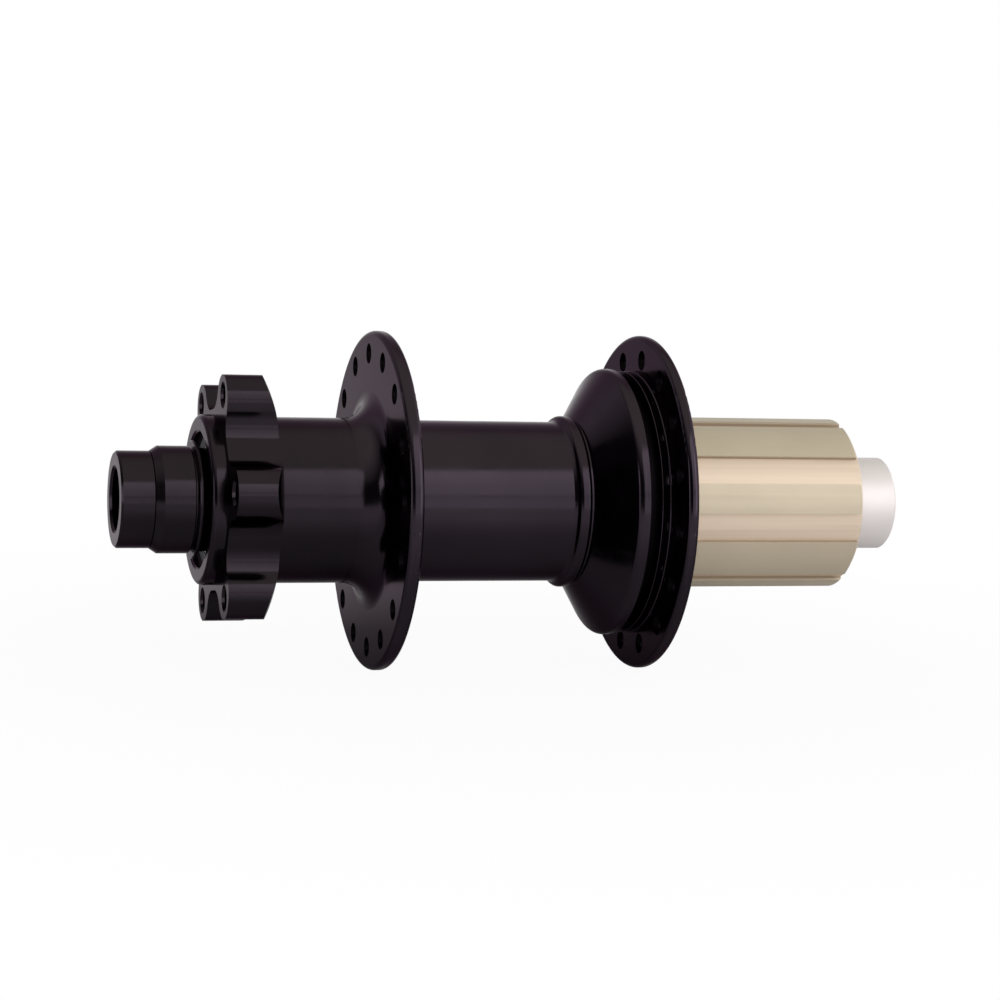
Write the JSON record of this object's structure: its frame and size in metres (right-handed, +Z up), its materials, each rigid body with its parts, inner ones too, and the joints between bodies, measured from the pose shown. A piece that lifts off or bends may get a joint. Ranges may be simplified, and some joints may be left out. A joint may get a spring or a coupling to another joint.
{
  "type": "bicycle rear hub",
  "caption": "Rear bicycle hub for a through axle, with a disc mount, two drilled spoke flanges, sealed bearings and a splined freehub driven by sprung pawls.",
  "frame": {"origin": "on the axle, halfway between the two end faces", "axes": "+Y along the axle towards the brake disc side, +X forwards on the bicycle, +Z up"},
  "size_m": [0.0662, 0.157, 0.0662],
  "materials": {
    "black_anodised": "satin black anodised aluminium with fine turning marks",
    "champagne_anodised": "pale gold hard anodised aluminium, milled along the splines",
    "silver_anodised": "matte silver anodised aluminium",
    "axle_aluminium": "bare turned aluminium",
    "hardened_steel": "dark hardened tool steel",
    "spring_steel": "bright spring steel",
    "bearing_steel": "ground bearing steel",
    "brass_cage": "pressed brass",
    "black_rubber": "matte black nitrile rubber"
  },
  "bodies": {
    "axle_group": {"axle": "axle_aluminium", "disc_end_cap": "black_anodised", "drive_end_cap": "silver_anodised", "disc_cap_o_ring": "black_rubber", "drive_cap_o_ring": "black_rubber", "race_spacer": "axle_aluminium", "freehub_spacer": "axle_aluminium", "disc_inner_race": "bearing_steel", "drive_inner_race": "bearing_steel", "inboard_inner_race": "bearing_steel", "outboard_inner_race": "bearing_steel"},
    "hub": {"hub_shell": "black_anodised", "ratchet_ring": "hardened_steel", "freehub_seal": "black_rubber", "disc_outer_race": "bearing_steel", "disc_bearing_seals": "black_rubber", "drive_outer_race": "bearing_steel", "drive_bearing_seals": "black_rubber"},
    "freehub": {"freehub_body": "champagne_anodised", "freehub_circlip": "hardened_steel", "inboard_outer_race": "bearing_steel", "inboard_bearing_seals": "black_rubber", "outboard_outer_race": "bearing_steel", "outboard_bearing_seals": "black_rubber", "pawl_spring_1": "spring_steel", "pawl_spring_2": "spring_steel", "pawl_spring_3": "spring_steel", "pawl_spring_4": "spring_steel"},
    "pawl_1": {"pawl_1": "hardened_steel"},
    "pawl_2": {"pawl_2": "hardened_steel"},
    "pawl_3": {"pawl_3": "hardened_steel"},
    "pawl_4": {"pawl_4": "hardened_steel"},
    "disc_balls": {"disc_bearing_cage": "brass_cage", "disc_bearing_balls": "bearing_steel"},
    "drive_balls": {"drive_bearing_cage": "brass_cage", "drive_bearing_balls": "bearing_steel"},
    "inboard_balls": {"inboard_bearing_cage": "brass_cage", "inboard_bearing_balls": "bearing_steel"},
    "outboard_balls": {"outboard_bearing_cage": "brass_cage", "outboard_bearing_balls": "bearing_steel"}
  },
  "joints": [
    {"name": "hub_spin", "type": "hinge", "parent": "axle_group", "child": "hub", "pos_m": [0, 0, 0], "axis": [0, 1, 0], "continuous": true},
    {"name": "freehub_spin", "type": "hinge", "parent": "axle_group", "child": "freehub", "pos_m": [0, 0, 0], "axis": [0, 1, 0], "continuous": true},
    {"name": "pawl_1_swing", "type": "hinge", "parent": "freehub", "child": "pawl_1", "pos_m": [-0.01124, -0.0212, 0.01124], "axis": [0, -1, 0], "range_deg": [0, 18.59], "stiffness_Nm_per_rad": 0.005, "springref_deg": 28.65},
    {"name": "pawl_2_swing", "type": "hinge", "parent": "freehub", "child": "pawl_2", "pos_m": [0.01124, -0.0212, 0.01124], "axis": [0, -1, 0], "range_deg": [0, 18.59], "stiffness_Nm_per_rad": 0.005, "springref_deg": 28.65},
    {"name": "pawl_3_swing", "type": "hinge", "parent": "freehub", "child": "pawl_3", "pos_m": [0.01124, -0.0212, -0.01124], "axis": [0, -1, 0], "range_deg": [0, 18.59], "stiffness_Nm_per_rad": 0.005, "springref_deg": 28.65},
    {"name": "pawl_4_swing", "type": "hinge", "parent": "freehub", "child": "pawl_4", "pos_m": [-0.01124, -0.0212, -0.01124], "axis": [0, -1, 0], "range_deg": [0, 18.59], "stiffness_Nm_per_rad": 0.005, "springref_deg": 28.65},
    {"name": "disc_balls_spin", "type": "hinge", "parent": "axle_group", "child": "disc_balls", "pos_m": [0, 0, 0], "axis": [0, 1, 0], "continuous": true},
    {"name": "drive_balls_spin", "type": "hinge", "parent": "axle_group", "child": "drive_balls", "pos_m": [0, 0, 0], "axis": [0, 1, 0], "continuous": true},
    {"name": "inboard_balls_spin", "type": "hinge", "parent": "axle_group", "child": "inboard_balls", "pos_m": [0, 0, 0], "axis": [0, 1, 0], "continuous": true},
    {"name": "outboard_balls_spin", "type": "hinge", "parent": "axle_group", "child": "outboard_balls", "pos_m": [0, 0, 0], "axis": [0, 1, 0], "continuous": true}
  ],
  "couplings": [
    {"joint": "pawl_2_swing", "follows": "pawl_1_swing", "ratio": 1},
    {"joint": "pawl_3_swing", "follows": "pawl_1_swing", "ratio": 1},
    {"joint": "pawl_4_swing", "follows": "pawl_1_swing", "ratio": 1},
    {"joint": "disc_balls_spin", "follows": "hub_spin", "ratio": 0.55814},
    {"joint": "drive_balls_spin", "follows": "hub_spin", "ratio": 0.55814},
    {"joint": "inboard_balls_spin", "follows": "freehub_spin", "ratio": 0.55814},
    {"joint": "outboard_balls_spin", "follows": "freehub_spin", "ratio": 0.55814}
  ]
}
